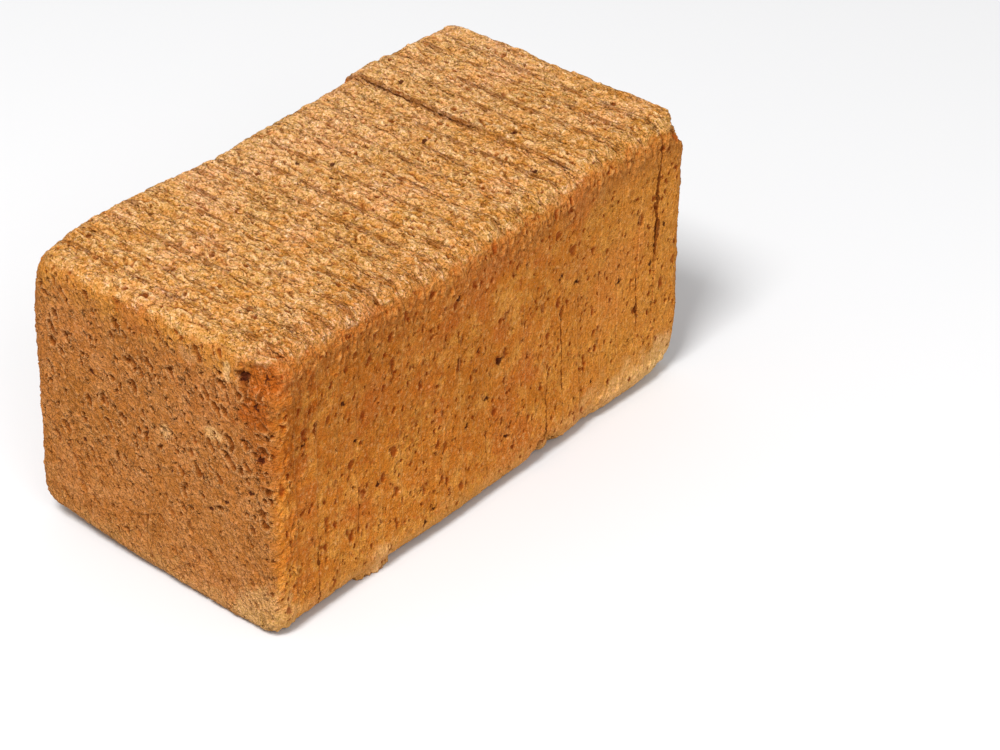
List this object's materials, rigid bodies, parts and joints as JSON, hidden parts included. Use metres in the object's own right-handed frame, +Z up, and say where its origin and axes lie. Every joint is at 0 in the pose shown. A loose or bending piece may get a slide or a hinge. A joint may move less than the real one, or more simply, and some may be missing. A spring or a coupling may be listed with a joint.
{
  "type": "sliced square sandwich loaf",
  "caption": "Square tin-baked wholegrain sandwich loaf, sliced, with its slices standing together between two crust heels.",
  "frame": {"origin": "middle of the underside, on the surface that the loaf stands on", "axes": "+Z up; +X along the loaf from the near heel to the far heel; +Y across it, from the near long side to the far one"},
  "size_m": [0.2161, 0.1124, 0.1087],
  "materials": {
    "slice_crust": "matte, sandy golden-brown baked crust with fine crumbly relief",
    "heel_crust": "matte, browner baked crust with dense small pits"
  },
  "bodies": {
    "root": {"heel_front": "heel_crust", "slice_01": "slice_crust", "slice_02": "slice_crust", "slice_03": "slice_crust", "slice_04": "slice_crust", "slice_05": "slice_crust", "slice_06": "slice_crust", "slice_07": "slice_crust", "slice_08": "slice_crust", "slice_09": "slice_crust", "slice_10": "slice_crust", "slice_11": "slice_crust", "slice_12": "slice_crust", "slice_13": "slice_crust", "slice_14": "slice_crust", "slice_15": "slice_crust", "slice_16": "slice_crust", "slice_17": "slice_crust", "slice_18": "slice_crust", "heel_back": "heel_crust"}
  },
  "joints": []
}
